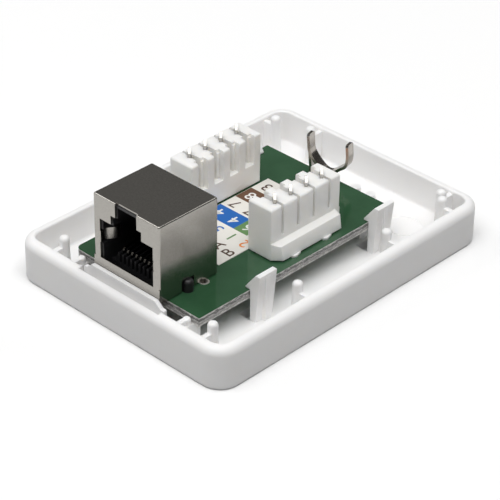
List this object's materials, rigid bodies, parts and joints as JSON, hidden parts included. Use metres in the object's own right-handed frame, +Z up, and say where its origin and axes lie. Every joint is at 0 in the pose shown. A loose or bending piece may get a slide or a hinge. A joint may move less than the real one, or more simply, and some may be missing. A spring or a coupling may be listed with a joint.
{
  "type": "ethernet socket",
  "caption": "Open base of a surface-mount network outlet: white tray, snapped-in board, shielded 8P8C jack, insulation displacement blocks, label and cable fork.",
  "frame": {"origin": "bottom centre of the tray, on the surface it lies on", "axes": "+Z up out of the tray, -Y the way the jack opens, +Y along the tray's length to the cable fork, +X to the right seen from the jack's opening"},
  "size_m": [0.0508, 0.0682, 0.0235],
  "materials": {
    "tray_plastic": "satin white moulding, fine texture",
    "board_laminate": "glossy green solder mask over glass laminate",
    "tinned_copper": "tinned",
    "label_paper": "printed paper",
    "shield_metal": "tinned sheet, satin",
    "insulator_plastic": "black moulding",
    "contact_metal": "bright plated wire",
    "block_plastic": "warm white moulding",
    "blade_metal": "tinned",
    "fork_steel": "dark plated spring steel",
    "solder": "tin solder"
  },
  "bodies": {
    "root": {"base_tray": "tray_plastic", "cable_fork": "fork_steel", "circuit_board": "board_laminate", "contact_carrier": "insulator_plastic", "idc_contact_1": "blade_metal", "idc_contact_2": "blade_metal", "idc_contact_3": "blade_metal", "idc_contact_4": "blade_metal", "idc_contact_5": "blade_metal", "idc_contact_6": "blade_metal", "idc_contact_7": "blade_metal", "idc_contact_8": "blade_metal", "jack_contact_1": "contact_metal", "jack_contact_2": "contact_metal", "jack_contact_3": "contact_metal", "jack_contact_4": "contact_metal", "jack_contact_5": "contact_metal", "jack_contact_6": "contact_metal", "jack_contact_7": "contact_metal", "jack_contact_8": "contact_metal", "jack_housing": "insulator_plastic", "jack_shield": "shield_metal", "plated_ring": "tinned_copper", "solder_joints": "solder", "terminal_block_left": "block_plastic", "terminal_block_right": "block_plastic", "wiring_label": "label_paper"}
  },
  "joints": []
}
